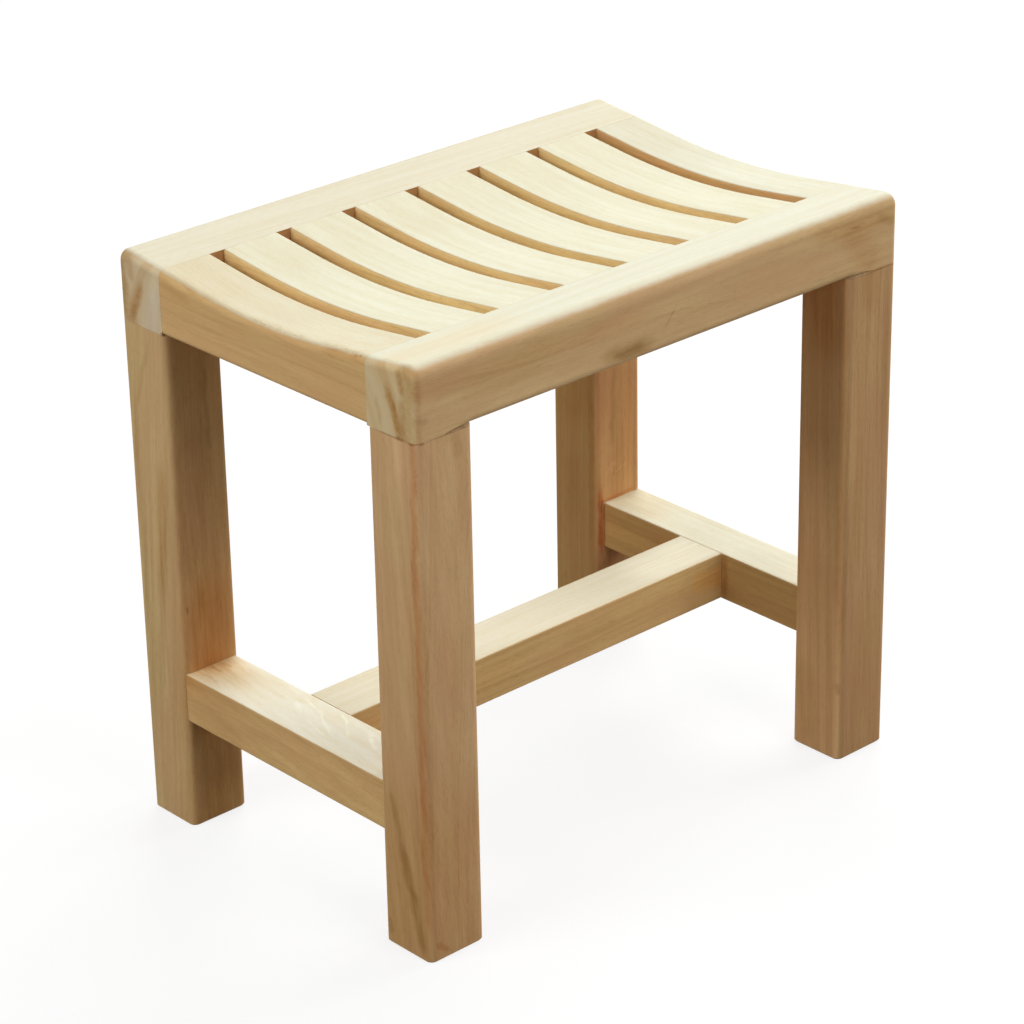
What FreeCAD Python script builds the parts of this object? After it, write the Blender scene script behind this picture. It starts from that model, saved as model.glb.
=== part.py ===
import FreeCAD, Part
import math
import os
from FreeCAD import Vector

# A free-standing wooden shower bench: a dished, slatted seat framed by two long rails and two
# end rails, four square legs doweled up into the rails, and an H-shaped stretcher low down.
# Millimetres, +X along the bench, -Y is the front, +Z up, origin on the floor under the middle.

# Whole bench
bench_length = 400.0
bench_width = 270.0
bench_height = 384.0

# Legs
leg_section_x = 44.0
leg_inner_lip = 1.0
leg_edge_round = 5.5
foot_chamfer = 1.2

# Seat frame
rail_width = 41.0
rail_height = 45.5
rail_top_round = 8.0
rail_lower_round = 5.5
rail_lower_round_end = 0.6
rail_lower_round_fade = 22.0
end_rail_width = 39.5
end_rail_top_round = 5.0
end_rail_lower_round = 3.5

# Dished top of the seat: an arc along the middle, then a straight rise to each rail's round
dish_radius = 500.0
dish_rise_angle = 6.8

# Slats
slat_count = 6
slot_width = 10.1
slat_thickness = 18.5
slot_edge_round = 1.5

# Tenons of the slats and end rails, lying flat along the grain of the long rails
seat_tenon_length = 14.0
seat_tenon_thickness = 10.0
seat_tenon_side_shoulder = 6.0
seat_tenon_lower_shoulder = 5.0

# Stretchers
left_stretcher_width = 39.2
right_stretcher_width = 33.9
end_stretcher_setback = 1.9
centre_stretcher_width = 38.8
stretcher_height = 33.3
stretcher_underside = 75.9
stretcher_edge_round = 1.2

# Joints of the end stretchers: the whole end is housed in the leg, and the tenon is upright along its grain
leg_housing_depth = 2.5
leg_tenon_length = 25.0
leg_tenon_thickness = 12.0
leg_tenon_shoulder = 4.0

# Tenons of the centre stretcher, flat along the grain of the end stretchers
cross_tenon_length = 20.0
cross_tenon_thickness = 12.0
cross_tenon_shoulder = 6.0

# Dowels, two in each leg's top
dowel_diameter = 10.0
dowel_spacing = 22.0
dowel_in_leg = 30.0
dowel_in_rail = 17.0
dowel_chamfer = 1.0

# Fits
joint_clearance = 0.1
glue_gap = 0.8
cut_overrun = 5.0
same_place = 0.02

# Places worked out from the sizes above
half_length = bench_length / 2
half_width = bench_width / 2
seam_y = half_width - rail_width
rail_underside = bench_height - rail_height
leg_height = rail_underside
rise = math.radians(dish_rise_angle)
round_y = half_width - rail_top_round
round_z = bench_height - rail_top_round
crest_y = round_y - rail_top_round * math.sin(rise)
crest_z = round_z + rail_top_round * math.cos(rise)
dish_edge_y = dish_radius * math.sin(rise)
dish_edge_z = crest_z - (crest_y - dish_edge_y) * math.tan(rise)
dish_low_z = dish_edge_z - dish_radius * (1 - math.cos(rise))
slat_underside = dish_low_z - slat_thickness
slot_count = slat_count + 1
slats_span = bench_length - 2 * end_rail_width
slat_width = (slats_span - slot_count * slot_width) / slat_count
seat_tenon_underside = slat_underside + seat_tenon_lower_shoulder
leg_section_y = rail_width + leg_inner_lip
leg_centre_x = half_length - leg_section_x / 2
leg_centre_y = half_width - leg_section_y / 2
leg_inner_y = half_width - leg_section_y
stretcher_top = stretcher_underside + stretcher_height
stretcher_middle_z = stretcher_underside + stretcher_height / 2

end_stretcher_widths = {"left": left_stretcher_width, "right": right_stretcher_width}
ENDS = {"left": -1, "right": 1}
SIDES = {"front": -1, "back": 1}


def block(x_from, x_to, y_from, y_to, z_from, z_to):
    """A box between two corners, given in either order along each axis."""
    low = Vector(min(x_from, x_to), min(y_from, y_to), min(z_from, z_to))
    return Part.makeBox(abs(x_to - x_from), abs(y_to - y_from), abs(z_to - z_from), low)


def edges_where(shape, test):
    """The edges whose middle point passes a test."""
    chosen = []
    for edge in shape.Edges:
        middle = edge.valueAt((edge.FirstParameter + edge.LastParameter) / 2)
        if test(edge, middle):
            chosen.append(edge)
    return chosen


def near(a, b):
    """Whether two places are the same one."""
    return abs(a - b) < same_place


def runs_along(edge, direction):
    """Whether an edge is straight and lies along a unit direction, either way round."""
    return isinstance(edge.Curve, Part.Line) and round(abs(edge.Curve.Direction.dot(direction)), 6) == 1


def seat_section():
    """The seat cut across its length: dished on top, rounded along both outer edges."""
    bulge = (math.pi / 2 - rise) / 2
    bulge_y = round_y + rail_top_round * math.sin(bulge)
    bulge_z = round_z + rail_top_round * math.cos(bulge)
    low = Vector(0, half_width, rail_underside)
    outer = Vector(0, half_width, round_z)
    shoulder = Vector(0, bulge_y, bulge_z)
    crest = Vector(0, crest_y, crest_z)
    dish_edge = Vector(0, dish_edge_y, dish_edge_z)
    dish_low = Vector(0, 0, dish_low_z)

    def other(point):
        return Vector(0, -point.y, point.z)

    edges = [
        Part.LineSegment(other(low), low),
        Part.LineSegment(low, outer),
        Part.Arc(outer, shoulder, crest),
        Part.LineSegment(crest, dish_edge),
        Part.Arc(dish_edge, dish_low, other(dish_edge)),
        Part.LineSegment(other(dish_edge), other(crest)),
        Part.Arc(other(crest), other(shoulder), other(outer)),
        Part.LineSegment(other(outer), other(low)),
    ]
    return Part.Face(Part.Wire([edge.toShape() for edge in edges]))


def seat_blank(x_from, x_to, y_from, y_to, underside):
    """A seat piece cut from the dished section, before its edges and joints are made."""
    section = seat_section()
    section.translate(Vector(min(x_from, x_to), 0, 0))
    body = section.extrude(Vector(abs(x_to - x_from), 0, 0))
    over = bench_height + cut_overrun
    return body.common(block(x_from - cut_overrun, x_to + cut_overrun, y_from, y_to, underside, over))


def seat_tenon(x_from, x_to, side, clearance):
    """The tenon on one end of a seat piece, or with a clearance the space of its mortise."""
    depth = seat_tenon_length + (glue_gap if clearance else 0)
    return block(
        x_from + seat_tenon_side_shoulder - clearance,
        x_to - seat_tenon_side_shoulder + clearance,
        side * seam_y,
        side * (seam_y + depth),
        seat_tenon_underside - clearance,
        seat_tenon_underside + seat_tenon_thickness + clearance,
    )


def slat_span(index):
    """Where a slat starts and ends along the bench."""
    start = -half_length + end_rail_width + slot_width + index * (slat_width + slot_width)
    return start, start + slat_width


def end_rail_span(end):
    """Where an end rail starts and ends along the bench, left to right."""
    outer = end * half_length
    inner = end * (half_length - end_rail_width)
    return min(outer, inner), max(outer, inner)


def dowel_places(end, side):
    """The two dowels of one leg, seen from above."""
    for step in (-1, 1):
        yield end * leg_centre_x + step * dowel_spacing / 2, side * leg_centre_y


def dowel_bore(x, y):
    """The hole for one dowel, through the seam of leg and rail."""
    radius = dowel_diameter / 2 + joint_clearance
    depth = dowel_in_leg + dowel_in_rail + 2 * glue_gap
    return Part.makeCylinder(radius, depth, Vector(x, y, leg_height - dowel_in_leg - glue_gap))


def lower_round_corner(x, radius, side):
    """The outline, across a long rail, of what a round takes off its lower outer edge."""
    outer = side * half_width
    inner = side * (half_width - radius)
    clear = side * (half_width + cut_overrun)
    top = rail_underside + radius
    below = rail_underside - cut_overrun
    slant = radius * math.cos(math.pi / 4)
    bulge = Vector(x, inner + side * slant, top - slant)
    arc = Part.Arc(Vector(x, outer, top), bulge, Vector(x, inner, rail_underside))
    corners = [
        Vector(x, inner, rail_underside),
        Vector(x, inner, below),
        Vector(x, clear, below),
        Vector(x, clear, top),
        Vector(x, outer, top),
    ]
    lines = [Part.makeLine(start, end) for start, end in zip(corners, corners[1:])]
    return Part.Wire([arc.toShape()] + lines)


def lower_round_cutter(side):
    """What the round takes off a long rail's lower outer edge, fading out over each leg."""
    full = half_length - leg_section_x
    faded = full + rail_lower_round_fade
    stations = [
        (-faded, rail_lower_round_end),
        (-full, rail_lower_round),
        (full, rail_lower_round),
        (faded, rail_lower_round_end),
    ]
    outlines = [lower_round_corner(x, radius, side) for x, radius in stations]
    return Part.makeLoft(outlines, True, True)


def long_rail(side):
    """A long rail: dished inside edge, rounded outside, mortised for slats, bored for dowels."""
    rail = seat_blank(-half_length, half_length, side * seam_y, side * half_width, rail_underside)

    def on_end_top(edge, middle):
        on_end = near(abs(middle.x), half_length)
        return on_end and seam_y < abs(middle.y) < crest_y and middle.z > round_z

    # Each end's round goes up the outer edge and over the top, easing to the end rail's round at the seam
    end_tops = edges_where(rail, on_end_top)
    rounds = [end_rail_top_round, leg_edge_round]
    if not near(end_tops[0].Vertexes[0].Point.y, side * seam_y):
        rounds.reverse()
    rail = rail.makeFillet(*rounds, end_tops)
    cutters = [lower_round_cutter(side)]
    for index in range(slat_count):
        x_from, x_to = slat_span(index)
        cutters.append(seat_tenon(x_from, x_to, side, joint_clearance))
    for end in ENDS.values():
        x_from, x_to = end_rail_span(end)
        cutters.append(seat_tenon(x_from, x_to, side, joint_clearance))
        for x, y in dowel_places(end, side):
            cutters.append(dowel_bore(x, y))
    return rail.cut(cutters)


def with_seat_tenons(body, x_from, x_to):
    """A slat or end rail with a tenon at each end."""
    tenons = [seat_tenon(x_from, x_to, side, 0) for side in SIDES.values()]
    return body.fuse(tenons).removeSplitter()


def slat(index):
    """One slat, eased along its two slots."""
    x_from, x_to = slat_span(index)
    body = seat_blank(x_from, x_to, -seam_y, seam_y, slat_underside)

    def beside_slot(edge, middle):
        upright = runs_along(edge, Vector(0, 0, 1))
        return (near(middle.x, x_from) or near(middle.x, x_to)) and not upright

    body = body.makeFillet(slot_edge_round, edges_where(body, beside_slot))
    return with_seat_tenons(body, x_from, x_to)


def end_rail(end):
    """The deep cross piece at one end, flush with the ends of the long rails."""
    x_from, x_to = end_rail_span(end)
    outer = end * half_length
    inner = end * (half_length - end_rail_width)
    body = seat_blank(x_from, x_to, -seam_y, seam_y, rail_underside)

    def low_outer(edge, middle):
        return near(middle.x, outer) and near(middle.z, rail_underside)

    def top_outer(edge, middle):
        upright = runs_along(edge, Vector(0, 0, 1))
        return near(middle.x, outer) and not upright and not low_outer(edge, middle)

    def beside_slot(edge, middle):
        return near(middle.x, inner) and not runs_along(edge, Vector(0, 0, 1))

    body = body.makeFillet(end_rail_top_round, edges_where(body, top_outer))
    body = body.makeFillet(end_rail_lower_round, edges_where(body, low_outer))
    body = body.makeFillet(slot_edge_round, edges_where(body, beside_slot))
    return with_seat_tenons(body, x_from, x_to)


def leg_tenon(end, side, clearance):
    """The tenon of an end stretcher in one leg, or with a clearance its mortise."""
    depth = leg_tenon_length + (glue_gap if clearance else 0)
    half = leg_tenon_thickness / 2 + clearance
    return block(
        end * leg_centre_x - half,
        end * leg_centre_x + half,
        side * leg_inner_y,
        side * (leg_inner_y + depth),
        stretcher_underside + leg_tenon_shoulder - clearance,
        stretcher_top - leg_tenon_shoulder + clearance,
    )


def end_stretcher_faces(end_name):
    """Where an end stretcher's inner and outer faces lie along the bench."""
    outer = half_length - end_stretcher_setback
    inner = outer - end_stretcher_widths[end_name]
    return ENDS[end_name] * inner, ENDS[end_name] * outer


def end_stretcher_bar(end_name, clearance):
    """The bar of an end stretcher without its joints, or with a clearance its housings in the legs."""
    inner, outer = end_stretcher_faces(end_name)
    reach = leg_inner_y + leg_housing_depth
    bar = block(
        inner - ENDS[end_name] * clearance,
        outer + ENDS[end_name] * clearance,
        -reach,
        reach,
        stretcher_underside - clearance,
        stretcher_top + clearance,
    )
    along = edges_where(bar, lambda edge, middle: runs_along(edge, Vector(0, 1, 0)))
    return bar.makeFillet(stretcher_edge_round + clearance, along)


def leg(end_name, side):
    """A square leg with rounded edges, bored for two dowels, housed and mortised for its stretcher."""
    end = ENDS[end_name]
    corner_x = end * half_length
    corner_y = side * half_width
    inner_x = end * (half_length - leg_section_x)
    body = block(corner_x, inner_x, corner_y, side * leg_inner_y, 0, leg_height)
    upright = edges_where(body, lambda edge, middle: runs_along(edge, Vector(0, 0, 1)))
    body = body.makeFillet(leg_edge_round, upright)
    sole = edges_where(body, lambda edge, middle: near(middle.z, 0))
    body = body.makeChamfer(foot_chamfer, sole)
    cutters = [end_stretcher_bar(end_name, joint_clearance), leg_tenon(end, side, joint_clearance)]
    for x, y in dowel_places(end, side):
        cutters.append(dowel_bore(x, y))
    return body.cut(cutters)


def leg_dowels(end, side):
    """The pair of dowels that ties one leg to its rail."""
    length = dowel_in_leg + dowel_in_rail
    pins = []
    for x, y in dowel_places(end, side):
        pin = Part.makeCylinder(dowel_diameter / 2, length, Vector(x, y, leg_height - dowel_in_leg))
        rims = edges_where(pin, lambda edge, middle: isinstance(edge.Curve, Part.Circle))
        pins.append(pin.makeChamfer(dowel_chamfer, rims))
    return Part.makeCompound(pins)


def cross_tenon(end_name, clearance):
    """The tenon of the centre stretcher in one end stretcher, or with a clearance its mortise."""
    depth = cross_tenon_length + (glue_gap if clearance else 0)
    half = centre_stretcher_width / 2 - cross_tenon_shoulder + clearance
    thick = cross_tenon_thickness / 2 + clearance
    inner = end_stretcher_faces(end_name)[0]
    return block(
        inner,
        inner + ENDS[end_name] * depth,
        -half,
        half,
        stretcher_middle_z - thick,
        stretcher_middle_z + thick,
    )


def end_stretcher(end_name):
    """The stretcher between the two legs of one end, housed and tenoned into both."""
    tenons = [leg_tenon(ENDS[end_name], side, 0) for side in SIDES.values()]
    body = end_stretcher_bar(end_name, 0).fuse(tenons).removeSplitter()
    return body.cut(cross_tenon(end_name, joint_clearance))


def centre_stretcher():
    """The long stretcher that joins the two end stretchers."""
    half = centre_stretcher_width / 2
    left, right = [end_stretcher_faces(end_name)[0] for end_name in ENDS]
    body = block(left, right, -half, half, stretcher_underside, stretcher_top)
    along = edges_where(body, lambda edge, middle: runs_along(edge, Vector(1, 0, 0)))
    body = body.makeFillet(stretcher_edge_round, along)
    tenons = [cross_tenon(end_name, 0) for end_name in ENDS]
    return body.fuse(tenons).removeSplitter()


def all_pieces():
    """Every piece of the bench under its own name."""
    pieces = {"centre_stretcher": centre_stretcher()}
    for side_name, side in SIDES.items():
        pieces[f"{side_name}_rail"] = long_rail(side)
    for index in range(slat_count):
        pieces[f"slat_{index + 1}"] = slat(index)
    for end_name, end in ENDS.items():
        pieces[f"{end_name}_end_rail"] = end_rail(end)
        pieces[f"{end_name}_stretcher"] = end_stretcher(end_name)
        for side_name, side in SIDES.items():
            pieces[f"leg_{side_name}_{end_name}"] = leg(end_name, side)
            pieces[f"dowels_{side_name}_{end_name}"] = leg_dowels(end, side)
    return pieces


os.makedirs("parts", exist_ok=True)
for name, shape in all_pieces().items():
    shape.exportStep(f"parts/{name}.step")
    print(name, "solids", len(shape.Solids), "valid", shape.isValid(), "volume", round(shape.Volume))
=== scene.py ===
import math
from collections import namedtuple

import bpy
from mathutils import Euler, Matrix, Vector


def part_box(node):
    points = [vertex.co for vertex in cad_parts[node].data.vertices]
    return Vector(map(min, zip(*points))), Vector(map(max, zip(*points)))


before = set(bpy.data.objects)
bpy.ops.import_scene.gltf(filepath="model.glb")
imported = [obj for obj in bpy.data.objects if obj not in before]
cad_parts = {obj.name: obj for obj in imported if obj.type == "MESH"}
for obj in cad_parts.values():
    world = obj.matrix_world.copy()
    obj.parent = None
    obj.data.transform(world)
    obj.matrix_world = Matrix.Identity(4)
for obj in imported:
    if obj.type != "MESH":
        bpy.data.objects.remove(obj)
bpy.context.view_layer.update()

# Camera: places in metres, roll in degrees, lens and sensor in millimetres
camera_place = Vector((-1.37916, -1.51301, 1.14494))
camera_aim = Vector((-0.00426, 0.00149, 0.18823))
camera_roll = -1.0793
camera_lens = 125.674
camera_sensor = 36.0

# Studio: each softbox's place and width in metres and its power in watts, all aimed at the bench
lamp_aim = Vector((0.0, 0.0, 0.25))
lamps = {
    "back_softbox": (Vector((3.9, 3.4, 3.5)), 3.4, 205.0),
    "right_softbox": (Vector((2.7, -0.2, 1.35)), 1.8, 62.0),
    "front_softbox": (Vector((0.2, -2.6, 1.85)), 1.5, 40.0),
    "left_softbox": (Vector((-2.6, 0.5, 1.85)), 1.5, 44.5),
}
sky_strength = 0.2

# Floor: white to the eye, with the bench's shadow, but it lights the bench only as a grey floor would
floor_size = 30.0
floor_grey = (0.15, 0.14, 0.13, 1.0)
floor_glow = 1.0
floor_shadow_share = 0.2
white = (1.0, 1.0, 1.0, 1.0)

# Wood colours, as they look in even daylight; the top colours are painted paler and less saturated than the
# wood, painted light and sheen from the strong light on the tops
wood_colours = {
    "side_light": "e3c28e",
    "side_dark": "b8915f",
    "rose": "cf9f77",
    "top_light": "ebe6d2",
    "top_dark": "dfd0a8",
    "end_light": "dcc6a0",
    "end_dark": "c7a26b",
}

# What a stain, or a patch of painted light or shade, leaves of the red, green and blue of the wood under it
stains_and_shades = {
    "red": (0.82, 0.65, 0.50),
    "rust": (0.86, 0.50, 0.35),
    "brown": (0.60, 0.48, 0.38),
    "olive": (0.70, 0.66, 0.50),
    "ochre": (0.74, 0.57, 0.38),
    "orange": (1.04, 0.84, 0.60),
    "tan": (0.86, 0.76, 0.62),
    "pale": (1.16, 1.20, 1.24),
    "grey": (0.96, 1.02, 1.18),
    "dark": (0.42, 0.25, 0.15),
}
glue_colour = "75441f"

# How the wood's figure is drawn out along and across the grain, in millimetres
wander_length, wander_width = 260.0, 45.0
streak_length, streak_width = 220.0, 5.0
fibre_length, fibre_width = 40.0, 0.9
fleck_length, fleck_width = 6.0, 0.7
cloud_length, cloud_width = 75.0, 22.0
ring_wander = 5.0
band_width = 11.0
metre_in_mm = 1000.0

# Year rings: how unevenly they follow each other, how fast that changes from ring to ring, and how far they
# differ in weight. Late wood rises towards the outside of a ring, drops at its edge, and has gaps.
ring_unevenness = 1.8
ring_run = 0.35
ring_weights = (0.15, 1.0)
late_wood_rise = (0.3, 0.88)
late_wood_drop = (0.9, 1.0)
late_wood_gaps = (0.25, 0.6)

# Where the noise of each part of the figure begins to show and where it is full
band_edge = (0.38, 0.7)
streak_edge = (0.3, 0.7)
fleck_edge = (0.52, 0.7)
cloud_edge = (0.36, 0.68)

# What each part adds to the figure, the figure's mean, and how strongly bands and clouds colour the wood
late_wood_share = 0.26
streak_share = 0.26
fibre_share = 0.3
fleck_share = 0.2
figure_mean = 0.45
side_band_share = 0.18
rose_share = 0.4
end_band_share = 0.4
end_late_wood_share = 0.15

# How far a face has to look along the grain to show its end, or its own way to take its own tone
end_grain_edge = (0.4, 0.85)
face_edge = (0.55, 0.95)
# How the edge of the painted paler top (painted light and sheen) wavers, and the size of its waver (mm)
painted_top_waver = 0.07
painted_top_waver_size = 9.0

# Marks: the waver of their outline and its size (mm), the share of their length that tapers, where they fade
# out and are full, and how streaks and specks break them up
mark_waver = 5.0
mark_waver_size = 14.0
mark_taper = 0.6
mark_edge = (1.0, 0.15)
mark_streak_length, mark_streak_width = 30.0, 2.2
mark_streaks = (0.45, 1.45)
speck_edge = (0.52, 0.66)

# Glue lines: how much narrower their full dark is, and where they are missing
seam_core = 3
seam_gaps = (0.3, 0.65)

# Sheen and touch of the sanded wood: relief in metres, and how much fibres and flecks make of it
roughness_span = (0.62, 0.78)
gloss = 0.12
fibre_relief = 0.00025
relief_strength = 0.5
fibre_height, fleck_height = 0.6, 0.4

# How many sizes of noise lie over each other
plain_noise, soft_noise, rough_noise = 1.0, 2.0, 3.0
noise_middle = (0.5, 0.5, 0.5)

# The ways that grain runs and faces look
ways = {"X": (1, 0, 0), "Y": (0, 1, 0), "Z": (0, 0, 1)}
grain_turns = {
    "X": Euler((0.0, 0.0, 0.0)),
    "Y": Euler((0.0, 0.0, math.radians(-90.0))),
    "Z": Euler((0.0, math.radians(90.0), 0.0)),
}
left = (-1, 0, 0)
right = (1, 0, 0)
front = (0, -1, 0)
up = (0, 0, 1)

# A board: the way its grain runs, how far the heart of the trunk lay from the board's middle (mm), how the
# trunk leaned (degrees), the mean width of its year rings (mm), its tone, what sets its faces apart (on some
# faces painted light or shade), its glue lines and marks (some of them painted light or shade), how far up a
# face looks before it takes the paler top colour (painted light and sheen), and how boldly its figure shows
Board = namedtuple(
    "Board", "grain heart lean ring tone faces seams marks pale_from boldness",
    defaults=((1, 1, 1), (), (), (), 0.62, 1.0),
)
# A face's tone: the way it looks, and the shares of red, green and blue it gives back. On some faces it is
# the wood's own colour, on others painted light or painted shade
Face = namedtuple("Face", "way tone")
# A thin dark line of glue where two boards meet: the way across it, its place and half-width (mm), and
# its strength
Seam = namedtuple("Seam", "across place width strength")
# The parts of a board's figure, and the shade that they add up to
Figure = namedtuple("Figure", "late band fibre fleck cloud shade")
# A knot, streak, stain, or patch of painted light or shade: its colouring, from where to where and
# half-width (mm), how strong, and how finely it breaks into specks, 0 for not at all
Mark = namedtuple("Mark", "stain start end width strength grit", defaults=(0.5, 0.0))

# Planes of the bench that the seams and marks lie on, in millimetres
leg_top = 338.5
glue_height = 338.2
seat_seam = 94.0
left_end = -200
front_side = -135
back_leg_front = 93
right_leg_left = 156
stretcher_top = 109.5
left_stretcher_left = -198
right_stretcher_left = 164.2
centre_stretcher_front = -19.4

leg_seam = Seam("Z", leg_top, 1.1, 0.42)
rail_seam = Seam("Z", leg_top, 0.6, 0.25)
faint_seam = Seam("Z", leg_top, 0.6, 0.1)
seat_seams = (Seam("Y", -seat_seam, 0.5, 0.3), Seam("Y", seat_seam, 0.5, 0.3))

# Glue that shows on a leg's top and on the rail over it
front_left_glue = (
    Mark("brown", (left_end, -118, glue_height), (-199, -134, glue_height), 1.8, 0.8),
    Mark("dark", (-199, -130, glue_height), (-194, front_side, glue_height), 1.5, 0.7),
    Mark("brown", (-176, front_side, glue_height), (-160, front_side, glue_height), 1.2, 0.3),
)
back_left_glue = (Mark("dark", (left_end, 95.5, 339), (-199, 93.5, 338), 2.2, 0.7),)
front_right_glue = (Mark("brown", (170, front_side, 338), (199, front_side, 338), 1.4, 0.5),)

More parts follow.
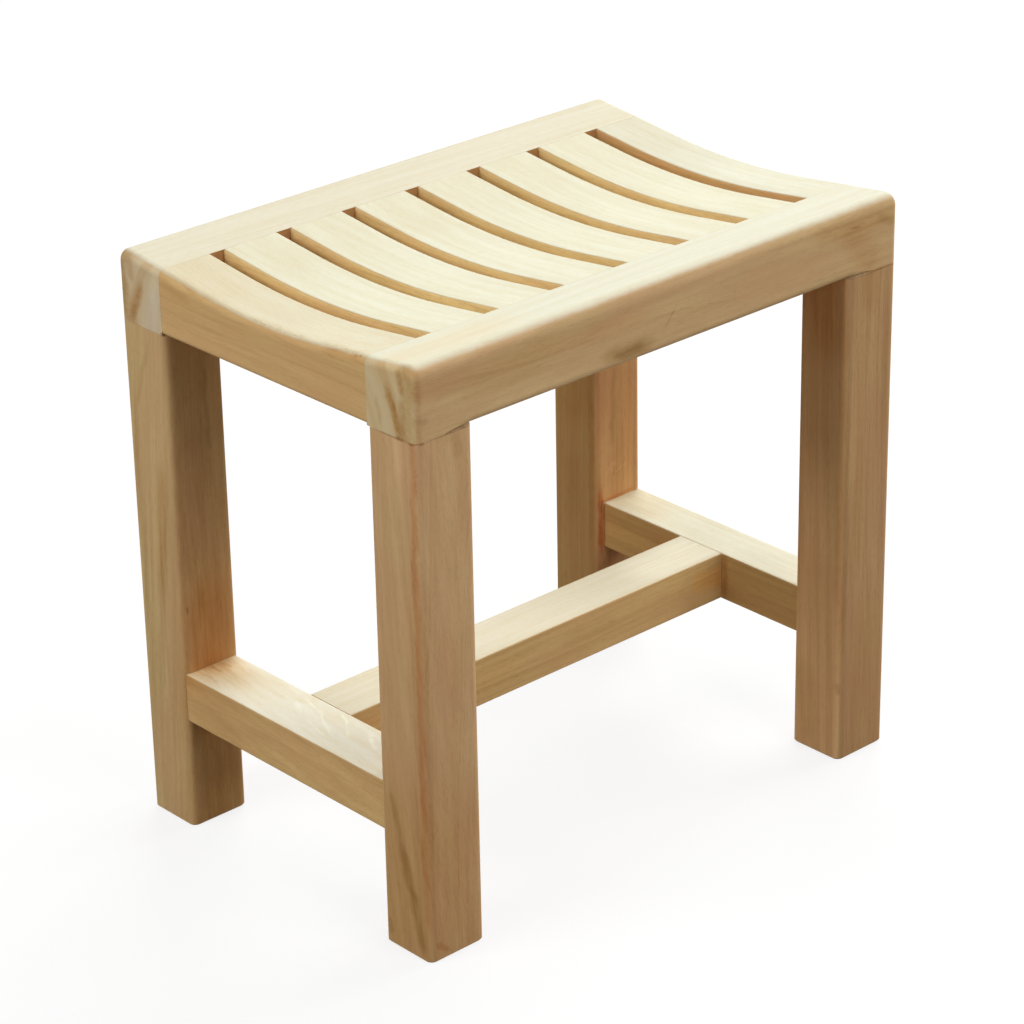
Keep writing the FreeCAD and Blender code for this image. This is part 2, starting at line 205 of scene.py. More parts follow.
boards = {
    "front_rail": Board(
        "X", (0, 140, -55), (0.8, -1.0), 2.6,
        faces=(
            Face(front, (0.95, 0.97, 0.98)),
            # The top is painted a little paler: painted light, as the front of the seat gets more light
            Face(up, (0.98, 1.03, 1.06)),
            Face(left, (1.01, 1.0, 0.92)),
        ),
        seams=(rail_seam,),
        marks=front_left_glue + front_right_glue + (
            # Redder wood above and at the right end, paler wood along the edges
            Mark("red", (-230, front_side, 369), (0, front_side, 366), 10, 0.42),
            Mark("red", (120, front_side, 374), (205, front_side, 371), 9, 0.6),
            Mark("red", (158, front_side, 366), (174, front_side, 348), 16, 0.45),
            Mark("brown", (50, -133, 380), (225, -133, 380), 9, 0.2),
            Mark("pale", (left_end, -133, 380), (-95, -133, 380), 4, 0.6),
            Mark("red", (-165, front_side, 358), (-100, front_side, 357), 9, 0.25),
            Mark("pale", (-60, front_side, 364), (40, front_side, 364), 8, 0.35),
            Mark("pale", (-165, front_side, 344), (-60, front_side, 344), 5, 0.4),
            Mark("pale", (20, front_side, 347), (120, front_side, 345), 6, 0.25),
            Mark("olive", (182, front_side, 373), (196, front_side, 366), 5, 0.5),
            # Knot with a fainter ring, a slanting line and short streaks
            Mark("olive", (-52, front_side, 348), (-16, front_side, 347), 8, 0.8),
            Mark("brown", (-44, front_side, 346.5), (-24, front_side, 346.5), 5, 0.6),
            Mark("brown", (-6, front_side, 352), (8, front_side, 367), 1.3, 0.35),
            Mark("brown", (157, front_side, 372), (165, front_side, 371.5), 1.3, 0.5),
            Mark("brown", (-197, front_side, 352), (-192, front_side, 350), 3.5, 0.35),
            # Bands of the end grain
            Mark("ochre", (left_end, -122.5, 378), (left_end, -124.5, 369), 4.6, 0.75),
            Mark("ochre", (left_end, -124, 362), (left_end, -125, 340), 4.5, 0.45),
            Mark("ochre", (left_end, -112, 368), (left_end, -122.5, 338), 4.8, 0.95),
            Mark("ochre", (left_end, -117, 360), (left_end, -119.5, 351), 2.2, 0.5),
            Mark("ochre", (left_end, -103.5, 360), (left_end, -106, 343), 2.6, 0.3),
            Mark("tan", (left_end, -130, 392), (left_end, -129, 328), 10, 1.0),
            Mark("pale", (-199, -96, 380), (-199, -121, 382), 5, 0.8),
            # Yellower and darker top at the left end: painted shade
            Mark("orange", (-215, -114, 384), (-110, -114, 384), 22, 0.35),
        ),
        pale_from=0.54,
        boldness=0.8,
    ),
    "back_rail": Board(
        "X", (0, -140, -60), (-0.6, 0.9), 2.4,
        # The top is painted a little darker and the front face, seen inside the slots, much darker: painted
        # shade
        faces=(Face(up, (0.94, 0.94, 0.93)), Face(front, (0.62, 0.5, 0.4))),
        seams=(faint_seam,),
        marks=back_left_glue + (
            # Bands of the end grain
            Mark("ochre", (left_end, 112, 366), (left_end, 123, 342), 5, 0.85),
            Mark("ochre", (left_end, 124, 382), (left_end, 121, 368), 5.5, 0.55),
            Mark("olive", (left_end, 131, 380), (left_end, 131, 340), 6, 0.4),
            Mark("tan", (left_end, 131, 362), (left_end, 122, 336), 11, 0.8),
            Mark("grey", (left_end, 99, 360), (left_end, 102, 332), 12, 0.9),
            Mark("pale", (left_end, 98, 376), (left_end, 100, 340), 8, 0.55),
            Mark("tan", (left_end, 132, 390), (left_end, 131, 330), 9, 0.8),
            Mark("pale", (-199, 96, 380), (-199, 116, 382), 5, 0.6),
        ),
    ),
    "left_end_rail": Board(
        "Y", (110, 0, -70), (1.6, 1.2), 2.0, (1.11, 1.09, 0.98),
        # The top is painted darker: painted shade
        faces=(Face(up, (0.84, 0.84, 0.87)),),
        seams=seat_seams,
        marks=(
            # Redder wood at both ends
            Mark("red", (left_end, -58, 373), (left_end, -93, 377), 5, 0.4),
            Mark("red", (left_end, 92, 372), (left_end, 66, 368), 6, 0.4),
            # Fibres torn along the upper edge
            Mark("tan", (-195, 15, 372.4), (-195, -45, 374.2), 4, 0.4),
            Mark("tan", (-195, -45, 374.2), (-195, -92, 379.6), 3, 0.4),
            Mark("tan", (-196, 15, 372.4), (-196, -45, 374.2), 3, 1.0, 0.7),
            Mark("tan", (-196, -45, 374.2), (-196, -92, 379.6), 3, 1.0, 0.7),
            Mark("brown", (-199, -82, 378), (-199, -91, 379), 2, 0.7, 0.4),
            Mark("brown", (-199, -54, 377), (-199, -60, 377), 1.6, 0.5, 0.4),
            # Top browner at the back and paler at the front: painted shade and painted light
            Mark("tan", (-198, 92, 382), (-196, 12, 374), 7, 0.5),
            Mark("tan", (-181, 94, 384), (-181, 50, 376), 24, 0.2),
            Mark("pale", (-181, -30, 374), (-181, -100, 381), 24, 0.3),
        ),
        pale_from=0.64,
        boldness=0.75,
    ),
    "right_end_rail": Board(
        "Y", (-120, 0, -60), (0.5, -0.4), 2.0,
        faces=(Face(up, (0.91, 0.94, 0.94)), Face(left, (0.94, 0.9, 0.8))),
        seams=seat_seams,
        marks=(
            # Top browner at the back and paler at the front: painted shade and painted light
            Mark("tan", (181, 100, 384), (181, 50, 376), 26, 0.2),
            Mark("pale", (181, 0, 373), (181, -110, 382), 26, 0.5),
        ),
    ),
    "leg_front_left": Board(
        "Z", (70, 60, 0), (4.0, -6.0), 2.8, (1.0, 0.97, 0.97),
        faces=(Face(front, (0.96, 0.95, 0.98)),),
        seams=(leg_seam,),
        marks=front_left_glue + (
            # Reddish streak down the rounded corner, with a patch spreading from it and paler wood beside it
            Mark("rust", (-199.5, -131.5, 460), (-199, -132, -20), 3.2, 0.45),
            Mark("red", (-199.6, -131.5, 306), (-199.6, -131.5, 236), 2.8, 0.4),
            Mark("red", (-198.5, -131.5, 270), (-197.5, -132.5, 10), 11, 0.45),
            Mark("red", (left_end, -126, 290), (left_end, -121, 160), 8, 0.15),
            Mark("pale", (left_end, -121, 350), (left_end, -121, 315), 6, 0.5),
            # Dark specks along both edges of the left face
            Mark("dark", (-199, -133.5, 324), (-199, -133.5, 302), 2.6, 0.25, 0.45),
            Mark("dark", (-199, -95.5, 316), (-199, -95.5, 252), 2.6, 1.0, 0.5),
            # Olive streak slanting down to the foot, small stains at the foot, the leg darker towards the
            # foot, painted shade, and paler under the seat, painted light
            Mark("olive", (left_end, -103, 106), (left_end, -113, 70), 4.5, 0.55),
            Mark("olive", (left_end, -112, 72), (left_end, -121, 40), 6, 0.85),
            Mark("olive", (left_end, -120, 44), (left_end, -128, 6), 6, 0.9),
            Mark("brown", (left_end, -97, 16), (left_end, -99, 8), 3.5, 0.6),
            Mark("red", (-193, front_side, 12), (-186, front_side, 6), 3.5, 0.7),
            Mark("tan", (-186, -110, -90), (-186, -110, 95), 66, 0.95),
            Mark("pale", (left_end, -115, 352), (left_end, -115, 305), 21, 0.42),
            # Faint streaks of the front face
            Mark("red", (-176, front_side, 100), (-178, front_side, 26), 3, 0.25),
            Mark("red", (-182, front_side, 220), (-177, front_side, 125), 12, 0.22),
            Mark("olive", (-171, front_side, 335), (-168, front_side, 325), 6, 0.4),
        ),
        boldness=0.8,
    ),
    "leg_front_right": Board(
        "Z", (-60, 80, 0), (-1.2, -2.0), 2.2,
        faces=(Face(left, (1.15, 1.045, 0.985)), Face(front, (0.77, 0.695, 0.665))),
        seams=(leg_seam,),
        marks=front_right_glue + (
            # Left face: redder and darker under the seat, painted shade; red along its near edge, paler
            # halfway, dull at the foot
            Mark("red", (right_leg_left, -112, 380), (right_leg_left, -116, 290), 26, 0.9),
            Mark("red", (157, -132.5, 330), (157, -133, 40), 5, 0.4),
            Mark("pale", (right_leg_left, -112, 200), (right_leg_left, -112, 140), 16, 0.45),
            Mark("olive", (right_leg_left, -104, 60), (right_leg_left, -110, 10), 14, 0.35),
            Mark("brown", (right_leg_left, -133, 54), (right_leg_left, -133.5, 49), 3, 0.4),
            # Front face: reddish streaks and foot, an olive streak, and browner under the seat, painted shade
            Mark("red", (165, front_side, 290), (170, front_side, 120), 8, 0.25),
            Mark("red", (178, front_side, -40), (178, front_side, 110), 30, 0.3),
            Mark("olive", (191, front_side, 330), (192, front_side, 215), 6, 0.3),
            Mark("tan", (178, front_side, 345), (178, front_side, 318), 14, 0.5),
        ),
    ),
    "leg_back_left": Board(
        "Z", (80, -50, 0), (1.5, 5.0), 2.6,
        faces=(Face(left, (0.975, 1.0, 0.965)), Face(front, (0.955, 0.895, 0.83))),
        seams=(faint_seam,),
        marks=back_left_glue + (
            # Pinkish band in the left face, greyer towards its far edge
            Mark("red", (left_end, 102, 255), (left_end, 113, 150), 8, 0.55),
            Mark("olive", (left_end, 128, 330), (left_end, 125, 40), 5, 0.35),
            Mark("olive", (left_end, 108, 332), (left_end, 126, 280), 3, 0.35),
            Mark("pale", (-199, 95, 300), (-199, 95, 60), 3, 0.4),
            # Darker under the seat and down to the stretcher, painted shade; orange over the stretcher,
            # painted light thrown up from it; dull under it
            Mark("red", (-176, back_leg_front, 345), (-174, back_leg_front, 300), 18, 0.2),
            Mark("brown", (-172, back_leg_front, 316), (-170, back_leg_front, 250), 3.5, 0.45),
            Mark("olive", (-193, back_leg_front, 330), (-193, back_leg_front, 230), 5, 0.3),
            Mark("red", (-186, back_leg_front, 205), (-184, back_leg_front, 140), 8, 0.12),
            Mark("brown", (-178, back_leg_front, 40), (-178, back_leg_front, 250), 40, 0.38),
            Mark("orange", (-178, back_leg_front, 80), (-178, back_leg_front, 160), 30, 0.7),
            Mark("orange", (-178, back_leg_front, -40), (-178, back_leg_front, 90), 34, 0.6),
            Mark("tan", (-178, back_leg_front, -30), (-178, back_leg_front, 24), 30, 0.25),
            Mark("tan", (-178, back_leg_front, 150), (-178, back_leg_front, 114), 26, 0.35),
            Mark("dark", (-195, back_leg_front, 155), (-195, back_leg_front, 151), 1.4, 0.5),
        ),
    ),
    "leg_back_right": Board(
        "Z", (60, 90, 0), (-0.8, 1.2), 2.2,
        # The left face is painted darker: painted shade
        faces=(Face(left, (0.78, 0.69, 0.53)), Face(front, (0.99, 0.815, 0.705))),
        seams=(leg_seam,),
        marks=(
            # Left face: red along its near edge, and browner above the stretcher, painted shade
            Mark("red", (right_leg_left, 97, 230), (right_leg_left, 97, 40), 3.5, 0.5),
            Mark("tan", (right_leg_left, 114, 240), (right_leg_left, 114, 175), 26, 0.6),
            Mark("olive", (right_leg_left, 114, 140), (right_leg_left, 117, 92), 10, 0.25),
            # Front face: an olive streak, a knot, and rust round the stretcher's joint
            Mark("olive", (174, back_leg_front, 215), (173, back_leg_front, 145), 3.5, 0.5),
            Mark("pale", (174, back_leg_front, 135), (172, back_leg_front, 131), 3.2, 0.7),
            Mark("rust", (161, back_leg_front, 128), (161.5, back_leg_front, 66), 3.4, 0.9),
            Mark("dark", (162.5, back_leg_front, 112), (162.5, back_leg_front, 103), 1.6, 0.7),
            Mark("dark", (160, back_leg_front, 93), (161, back_leg_front, 88), 1.5, 0.4),
            Mark("rust", (160, back_leg_front, 111), (196, back_leg_front, 111), 2.0, 0.6),
            # Heart of the knot, with paler curls beside it
            Mark("rust", (172.5, back_leg_front, 134), (175, back_leg_front, 128), 2.0, 0.35),
            Mark("pale", (165, back_leg_front, 129), (173, back_leg_front, 137), 1.6, 0.6),
            Mark("pale", (175, back_leg_front, 129), (186, back_leg_front, 133), 1.6, 0.5),
            # Darker under the stretcher, painted shade, and warmer wood above it
            Mark("brown", (166, back_leg_front, 62), (176, back_leg_front, 74), 8, 0.6),
            Mark("orange", (188, back_leg_front, 205), (186, back_leg_front, 120), 12, 0.3),
        ),
    ),
    "left_stretcher": Board(
        "Y", (20, 0, -60), (5.0, 8.0), 3.0,
        # The top is painted paler: painted light, standing in for light that reaches it under the seat
        faces=(Face(left, (1.04, 1.0, 0.85)), Face(up, (1.18, 1.22, 1.28))),
        marks=(
            # Browner top beside the back leg, with a few streaks
            Mark("tan", (-178, 116, stretcher_top), (-180, 70, stretcher_top), 24, 0.9),
            Mark("orange", (-189, 175, stretcher_top), (-189, 82, stretcher_top), 20, 0.75),
            Mark("orange", (-171, 175, stretcher_top), (-171, 82, stretcher_top), 20, 0.75),
            Mark("tan", (-189, 135, stretcher_top), (-189, 42, stretcher_top), 20, 0.4),
            Mark("tan", (-171, 135, stretcher_top), (-171, 42, stretcher_top), 20, 0.4),
            Mark("ochre", (-180, 130, stretcher_top), (-180, 98, stretcher_top), 34, 0.28),
            Mark("ochre", (-181, back_leg_front, stretcher_top), (-180, 80, stretcher_top), 2, 0.6),
            Mark("ochre", (-173, back_leg_front, stretcher_top), (-172, 82, stretcher_top), 1.8, 0.5),
            Mark("ochre", (-190, 89, stretcher_top), (-191, 70, stretcher_top), 2.2, 0.5),
            # Pale curls of torn grain towards the front leg
            Mark("pale", (-164, 20, stretcher_top), (-170, -2, stretcher_top), 1.5, 0.55),
            Mark("pale", (-167, 3, stretcher_top), (-176, -13, stretcher_top), 1.5, 0.55),
            Mark("pale", (-172, -6, stretcher_top), (-185, -34, stretcher_top), 1.5, 0.5),
            Mark("pale", (-161, -13, stretcher_top), (-170, -29, stretcher_top), 1.7, 0.55),
            Mark("pale", (-166, -23, stretcher_top), (-180, -40, stretcher_top), 1.7, 0.5),
            Mark("pale", (-166, -46, stretcher_top), (-173, -54, stretcher_top), 2.2, 0.55),
            Mark("pale", (-171, -51, stretcher_top), (-177, -64, stretcher_top), 2.4, 0.55),
            Mark("pale", (-173, 17, stretcher_top), (-180, 4, stretcher_top), 2.6, 0.35),
            Mark("pale", (-181, -2, stretcher_top), (-189, -33, stretcher_top), 1.4, 0.4),
            # Left face: duller at the back, paler at the front
            Mark("olive", (left_stretcher_left, 86, 90), (left_stretcher_left, 40, 84), 8, 0.2),
            Mark("pale", (left_stretcher_left, 5, 93), (left_stretcher_left, -100, 93), 20, 0.6),
        ),
        pale_from=0.45,
    ),
    "right_stretcher": Board(
        "Y", (90, 0, -40), (0.6, 1.0), 2.2,
        # The top is painted paler: painted light, standing in for light that reaches it under the seat
        faces=(Face(left, (0.965, 0.9, 0.7)), Face(up, (1.09, 1.14, 1.16))),
        marks=(
            # Top browner at the back and paler at the front, painted shade and painted light, and a stain
            # round the centre stretcher's joint
            Mark("tan", (181, 120, stretcher_top), (181, 60, stretcher_top), 26, 0.6),
            Mark("pale", (181, -20, stretcher_top), (181, -110, stretcher_top), 40, 0.5),
            Mark("red", (right_stretcher_left, -23, 112), (right_stretcher_left, -23, 74), 3.5, 0.6),
            # Left face: darker towards the front leg, painted shade, and warmer towards the back
            Mark("brown", (right_stretcher_left, -30, 93), (right_stretcher_left, -110, 93), 26, 0.34),
            Mark("orange", (right_stretcher_left, 90, 93), (right_stretcher_left, 30, 93), 20, 0.3),
        ),
        pale_from=0.45,
    ),
    "centre_stretcher": Board(
        "X", (0, 90, -50), (0.8, 0.6), 2.2,
        faces=(Face(front, (1.0, 0.98, 0.845)), Face(up, (0.99, 0.99, 0.97))),
        marks=(
            # Warmer wood towards the left. At the right end the front is paler and warmer and the top paler:
            # painted light, standing in for light that the right stretcher and back right leg keep off
            Mark("orange", (-156, centre_stretcher_front, 93), (-20, centre_stretcher_front, 93), 16, 0.25),
            Mark("olive", (20, centre_stretcher_front, 96), (66, centre_stretcher_front, 93), 9, 0.25),
            Mark("pale", (150, centre_stretcher_front, 93), (190, centre_stretcher_front, 93), 22, 0.8),
            Mark("orange", (144, centre_stretcher_front, 95), (164, centre_stretcher_front, 93), 12, 0.8),
            Mark("pale", (110, 0, stretcher_top), (170, 0, stretcher_top), 24, 0.7),
        ),
        pale_from=0.45,
    ),
}

slat_count = 6
slat_pitch = 51.8
slat_half_width = 20.9
slat_ring = 2.0
slat_lean = (0.6, 0.8)
slat_tone = (0.965, 1.0, 0.98)
# The slot walls are painted brighter and less orange than the wood's sides: painted light that the walls
# throw onto each other
slat_wall_tone = (1.2, 1.3, 1.28)
slat_pale_from = 0.7
# The first slat's distance from the heart (mm), across and down, and its change from each slat to the next
slat_heart = (100, -40)
slat_heart_step = (15, 9)
slat_walls = (Face(left, slat_wall_tone), Face(right, slat_wall_tone))
for number in range(slat_count):
    # Every other slat comes from the other side of the heart
    side = 1 if number % 2 else -1
    across, down = (first + step * number for first, step in zip(slat_heart, slat_heart_step))
    middle = slat_pitch * (number - (slat_count - 1) / 2)
    # Painted light and shade: each slat's top browner at the back and paler at the front
    painted_light_and_shade = (
        Mark("tan", (middle, 110, 386), (middle, 50, 376), 28, 0.18),
        Mark("pale", (middle, 0, 372), (middle, -110, 386), 28, 0.25),
    )
    # Painted shade: the slot walls darker deep down at their back ends
    for wall in (middle - slat_half_width, middle + slat_half_width):
        painted_light_and_shade += (Mark("brown", (wall, 104, 368), (wall, 50, 362), 9, 0.8),)
    boards[f"slat_{number + 1}"] = Board(
        "Y", (side * across, 0, down), (slat_lean[0] * side, slat_lean[1]), slat_ring, slat_tone,
        faces=slat_walls, seams=seat_seams, marks=painted_light_and_shade, pale_from=slat_pale_from,
    )
dowel_ring = 1.6
for corner in ("front_left", "front_right", "back_left", "back_right"):
    boards[f"dowels_{corner}"] = Board("Z", (0, 0, 0), (0.0, 0.0), dowel_ring)


def tint(code):
    """A colour written as six hex digits, taken back along a screen's curve, as the shader wants it."""
    shares = [int(code[i:i + 2], 16) / 255 for i in (0, 2, 4)]
    return tuple(s / 12.92 if s <= 0.04045 else ((s + 0.055) / 1.055) ** 2.4 for s in shares) + (1.0,)


class Mixer:
    """Short words for a material's nodes. Each gives back its output, ready to feed the next."""

    def __init__(self, name):
        self.material = bpy.data.materials.new(name)
        self.material.use_nodes = True
        self.tree = self.material.node_tree

    def node(self, kind, inputs, **settings):
        made = self.tree.nodes.new("ShaderNode" + kind)
        for setting, value in settings.items():
            setattr(made, setting, value)
        for key, source in inputs.items():
            if isinstance(source, bpy.types.NodeSocket):
                self.tree.links.new(source, made.inputs[key])
            else:
                made.inputs[key].default_value = source
        return made

    def math(self, operation, first, second=0.0):
        return self.node("Math", {0: first, 1: second}, operation=operation).outputs[0]

    def product(self, *values):
        result = values[0]
        for value in values[1:]:
            result = self.math("MULTIPLY", result, value)
        return result

    def total(self, *values):
        result = values[0]
        for value in values[1:]:
            result = self.math("ADD", result, value)
        return result

    def along(self, place, way):
        """How far a place lies along a way."""
        return self.node("VectorMath", {0: place, 1: way}, operation="DOT_PRODUCT").outputs["Value"]

    def step(self, value, low, high):
        """0 at low, 1 at high, smooth between. Low may be the larger."""
        inputs = {"Value": value, "From Min": low, "From Max": high}
        return self.node("MapRange", inputs, interpolation_type="SMOOTHSTEP").outputs["Result"]

    def span(self, value, low, high):
        """A 0 to 1 value spread evenly from low to high."""
        return self.node("MapRange", {"Value": value, "To Min": low, "To Max": high}).outputs["Result"]

    def noise(self, place, length, width, detail=soft_noise):
        """Noise drawn out along X by length and across it by width."""
        scale = (1 / length, 1 / width, 1 / width)
        drawn = self.node("Mapping", {"Vector": place, "Scale": scale}).outputs[0]
        return self.node("TexNoise", {"Vector": drawn, "Scale": 1.0, "Detail": detail}).outputs["Fac"]

    def run(self, value):
        """Noise that changes with one value only."""
        inputs = {"W": value, "Scale": 1.0, "Detail": plain_noise}
        return self.node("TexNoise", inputs, noise_dimensions="1D").outputs["Fac"]

    def chance(self, value):
        """A number from 0 to 1 of its own for each value."""
        return self.node("TexWhiteNoise", {"W": value}, noise_dimensions="1D").outputs["Value"]

    def mix(self, share, first, second, blend="MIX"):
        inputs = {0: share, 6: first, 7: second}
        return self.node("Mix", inputs, data_type="RGBA", blend_type=blend).outputs[2]

    def dye_or_shade(self, share, colour, shares):
        """A colour of which only some shares of red, green and blue are left."""
        return self.mix(share, colour, shares + (1.0,), "MULTIPLY")


def lay_grain(mixer, place, name, board):
    """The place in the trunk that each point of the board was cut from, with X along the trunk, in mm."""
    low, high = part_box(name)
    heart = (low + high) / 2 * metre_in_mm + Vector(board.heart)
    lean = Euler((0.0, math.radians(board.lean[0]), math.radians(board.lean[1])))
    turn = lean.to_matrix() @ grain_turns[board.grain].to_matrix()
    inputs = {"Vector": place, "Location": -(turn @ heart), "Rotation": turn.to_euler()}
    return mixer.node("Mapping", inputs).outputs[0]


def draw_marks(mixer, colour, place, trunk, marks):
    """Knots, stained spots, streaks and patches of painted light and shade, each a soft patch with a wavering
    edge that follows the grain inside.
    """
    if not marks:
        return colour
    inputs = {"Vector": place, "Scale": 1 / mark_waver_size, "Detail": soft_noise}
    waver = mixer.node("TexNoise", inputs).outputs["Color"]
    waver = mixer.node("VectorMath", {0: waver, 1: noise_middle}, operation="SUBTRACT").outputs[0]
    waver = mixer.node("VectorMath", {0: waver, "Scale": mark_waver}, operation="SCALE").outputs[0]
    wavering = mixer.node("VectorMath", {0: place, 1: waver}, operation="ADD").outputs[0]
    streaky = mixer.span(mixer.noise(trunk, mark_streak_length, mark_streak_width), *mark_streaks)
    for mark in marks:
        run = Vector(mark.end) - Vector(mark.start)
        middle = (Vector(mark.end) + Vector(mark.start)) / 2
        turn = run.to_track_quat("X", "Z").to_euler()
        half = run.length / 2 + mark.width
        taper = max(mark.width, mark_taper * half)
        size = (taper, mark.width, mark.width)
        inputs = {"Vector": wavering, "Location": middle, "Rotation": turn, "Scale": size}
        local = mixer.node("Mapping", inputs, vector_type="TEXTURE").outputs[0]
        local = mixer.node("VectorMath", {0: local}, operation="ABSOLUTE").outputs[0]
        untapered = (half / taper - 1, 0, 0)
        local = mixer.node("VectorMath", {0: local, 1: untapered}, operation="SUBTRACT").outputs[0]
        local = mixer.node("VectorMath", {0: local, 1: (0, 0, 0)}, operation="MAXIMUM").outputs[0]
        away = mixer.node("VectorMath", {0: local}, operation="LENGTH").outputs["Value"]
        patch = mixer.product(mixer.step(away, *mark_edge), streaky)
        if mark.grit:
            inputs = {"Vector": place, "Scale": mark.grit, "Detail": plain_noise}
            specks = mixer.node("TexNoise", inputs).outputs["Fac"]
            patch = mixer.product(patch, mixer.step(specks, *speck_edge))
        colour = mixer.dye_or_shade(mixer.product(patch, mark.strength), colour, stains_and_shades[mark.stain])
    return colour


def draw_seams(mixer, colour, place, seams):
    """Lines of glue, darker in some stretches than in others."""
    for seam in seams:
        far = mixer.math("SUBTRACT", mixer.along(place, ways[seam.across]), seam.place)
        far = mixer.math("ABSOLUTE", far)
        line = mixer.step(far, seam.width, seam.width / seam_core)
        inputs = {"Vector": place, "Scale": 1 / mark_waver_size, "Detail": soft_noise}
        patchy = mixer.node("TexNoise", inputs).outputs["Fac"]
        strength = mixer.product(mixer.step(patchy, *seam_gaps), seam.strength)
        colour = mixer.mix(mixer.product(line, strength), colour, tint(glue_colour))
    return colour


def draw_figure(mixer, trunk, board):
    """Year rings, streaks, fibres, flecks and clouds of the wood, and all of them together as one shade."""
    across = mixer.node("VectorMath", {0: trunk, 1: (0, 1, 1)}, operation="MULTIPLY").outputs[0]
    radius = mixer.node("VectorMath", {0: across}, operation="LENGTH").outputs["Value"]
    wander = mixer.span(mixer.noise(trunk, wander_length, wander_width), -ring_wander, ring_wander)
    radius = mixer.total(radius, wander)
    rings = mixer.math("DIVIDE", radius, board.ring)
    rings = mixer.total(rings, mixer.product(mixer.run(mixer.product(rings, ring_run)), ring_unevenness))
    phase = mixer.math("FRACT", rings)
    weight = mixer.span(mixer.chance(mixer.math("FLOOR", rings)), *ring_weights)
    late = mixer.math("SUBTRACT", mixer.step(phase, *late_wood_rise), mixer.step(phase, *late_wood_drop))
    gaps = mixer.step(mixer.noise(trunk, cloud_length, streak_width), *late_wood_gaps)
    late = mixer.product(late, weight, gaps)
    band = mixer.step(mixer.run(mixer.math("DIVIDE", radius, band_width)), *band_edge)
    streak = mixer.step(mixer.noise(trunk, streak_length, streak_width), *streak_edge)
    fibre = mixer.noise(trunk, fibre_length, fibre_width)
    fleck = mixer.step(mixer.noise(trunk, fleck_length, fleck_width, plain_noise), *fleck_edge)
    cloud = mixer.step(mixer.noise(trunk, cloud_length, cloud_width, rough_noise), *cloud_edge)

    shade = mixer.total(
        mixer.product(late, late_wood_share), mixer.product(streak, streak_share),
        mixer.product(fibre, fibre_share), mixer.product(fleck, fleck_share),
    )
    # The figure of a plain board stays near its mean
    faintest = figure_mean * (1 - board.boldness)
    shade = mixer.span(shade, faintest, faintest + board.boldness)
    return Figure(late, band, fibre, fleck, cloud, shade)


def colour_wood(mixer, figure, place, board):
    """Warm sides, tops painted paler (painted light and sheen), greyer end grain, and each face's tone, on
    some faces painted light or shade.
    """
    colours = {key: tint(code) for key, code in wood_colours.items()}
    sides = mixer.mix(figure.shade, colours["side_light"], colours["side_dark"])
    sides = mixer.mix(mixer.product(figure.band, side_band_share), sides, colours["side_dark"])
    sides = mixer.mix(mixer.product(figure.cloud, rose_share), sides, colours["rose"])
    tops = mixer.mix(figure.shade, colours["top_light"], colours["top_dark"])
    ends = mixer.mix(mixer.product(figure.band, end_band_share), colours["end_light"], colours["end_dark"])
    ends = mixer.mix(mixer.product(figure.late, end_late_wood_share), ends, colours["end_dark"])

    normal = mixer.node("NewGeometry", {}).outputs["Normal"]
    # The paler top colour is painted light and sheen: faces that look up take it, with a wavering edge
    inputs = {"Vector": place, "Scale": 1 / painted_top_waver_size, "Detail": rough_noise}
    painted_top_noise = mixer.node("TexNoise", inputs).outputs["Fac"]
    upward = mixer.total(mixer.along(normal, up), mixer.span(painted_top_noise, -painted_top_waver, painted_top_waver))
    colour = mixer.mix(mixer.step(upward, board.pale_from, 1.0), sides, tops)
    endward = mixer.math("ABSOLUTE", mixer.along(normal, ways[board.grain]))
    colour = mixer.mix(mixer.step(endward, *end_grain_edge), colour, ends)
    colour = mixer.dye_or_shade(1.0, colour, board.tone)
    for face in board.faces:
        share = mixer.step(mixer.along(normal, face.way), *face_edge)
        colour = mixer.dye_or_shade(share, colour, face.tone)
    return colour


def wood_finish(name, board):
    """Sanded, unvarnished softwood for one board."""
    mixer = Mixer(name + "_wood")
    objects = mixer.node("TexCoord", {}).outputs["Object"]
    place = mixer.node("Mapping", {"Vector": objects, "Scale": (metre_in_mm,) * 3}).outputs[0]
    trunk = lay_grain(mixer, place, name, board)
    figure = draw_figure(mixer, trunk, board)
    colour = colour_wood(mixer, figure, place, board)
    colour = draw_marks(mixer, colour, place, trunk, board.marks)
    colour = draw_seams(mixer, colour, place, board.seams)

    shader = mixer.tree.nodes["Principled BSDF"]
    mixer.tree.links.new(colour, shader.inputs["Base Color"])
    mixer.tree.links.new(mixer.span(figure.shade, *roughness_span), shader.inputs["Roughness"])
    shader.inputs["Specular IOR Level"].default_value = gloss
    height = mixer.total(mixer.product(figure.fibre, fibre_height), mixer.product(figure.fleck, fleck_height))
    inputs = {"Height": height, "Distance": fibre_relief, "Strength": relief_strength}
    bump = mixer.node("Bump", inputs).outputs["Normal"]
    mixer.tree.links.new(bump, shader.inputs["Normal"])
    return mixer.material


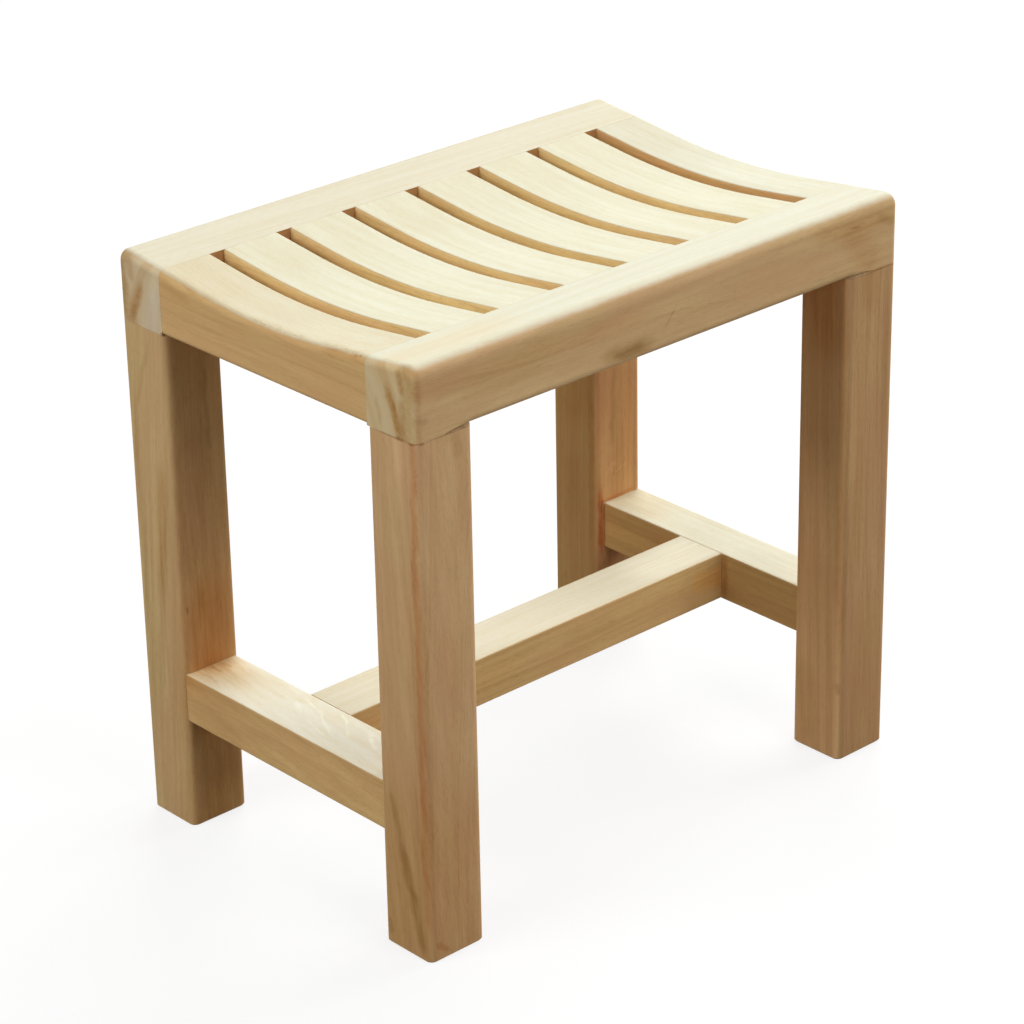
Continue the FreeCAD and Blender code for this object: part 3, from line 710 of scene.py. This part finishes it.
def make_camera():
    """Long lens on the near left, above the seat, as the photograph was taken."""
    bpy.ops.object.camera_add(location=camera_place)
    camera = bpy.context.object
    camera.name = "photo_camera"
    camera.data.lens = camera_lens
    camera.data.sensor_width = camera_sensor
    look = (camera_aim - camera_place).to_track_quat("-Z", "Y").to_matrix()
    camera.rotation_euler = (look @ Matrix.Rotation(math.radians(camera_roll), 3, "Z")).to_euler()
    bpy.context.scene.camera = camera


def make_lamp(name, place, width, power):
    """Square softbox aimed at the middle of the bench."""
    bpy.ops.object.light_add(type="AREA", location=place)
    lamp = bpy.context.object
    lamp.name = name
    lamp.data.size = width
    lamp.data.energy = power
    lamp.rotation_euler = (lamp_aim - place).to_track_quat("-Z", "Y").to_euler()


def make_floor():
    """White paper floor under the bench."""
    bpy.ops.object.select_all(action="DESELECT")
    bpy.ops.mesh.primitive_plane_add(size=floor_size)
    floor = bpy.context.object
    floor.name = "floor"
    mixer = Mixer("paper_floor")
    grey = mixer.node("BsdfDiffuse", {"Color": floor_grey}).outputs[0]
    paper = mixer.node("BsdfDiffuse", {"Color": white}).outputs[0]
    glow = mixer.node("Emission", {"Color": white, "Strength": floor_glow}).outputs[0]
    shadowed = mixer.node("MixShader", {0: floor_shadow_share, 1: glow, 2: paper}).outputs[0]
    path = mixer.node("LightPath", {}).outputs
    seen = mixer.math("MAXIMUM", path["Is Camera Ray"], path["Is Glossy Ray"])
    seen = mixer.math("MAXIMUM", seen, path["Is Transmission Ray"])
    surface = mixer.node("MixShader", {0: seen, 1: grey, 2: shadowed}).outputs[0]
    mixer.tree.links.new(surface, mixer.tree.nodes["Material Output"].inputs["Surface"])
    mixer.tree.nodes.remove(mixer.tree.nodes["Principled BSDF"])
    floor.data.materials.append(mixer.material)


def make_sky():
    """Even, dim light from all round, between the softboxes."""
    world = bpy.data.worlds.new("studio")
    world.use_nodes = True
    light = world.node_tree.nodes["Background"].inputs
    light["Color"].default_value = white
    light["Strength"].default_value = sky_strength
    bpy.context.scene.world = world


make_camera()
make_floor()
make_sky()
for lamp_name, (lamp_place, lamp_width, lamp_power) in lamps.items():
    make_lamp(lamp_name, lamp_place, lamp_width, lamp_power)
for piece_name, piece_board in boards.items():
    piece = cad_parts[piece_name]
    finish = wood_finish(piece_name, piece_board)
    for held in piece.material_slots:
        held.material = finish
bpy.context.scene.view_settings.view_transform = "Standard"
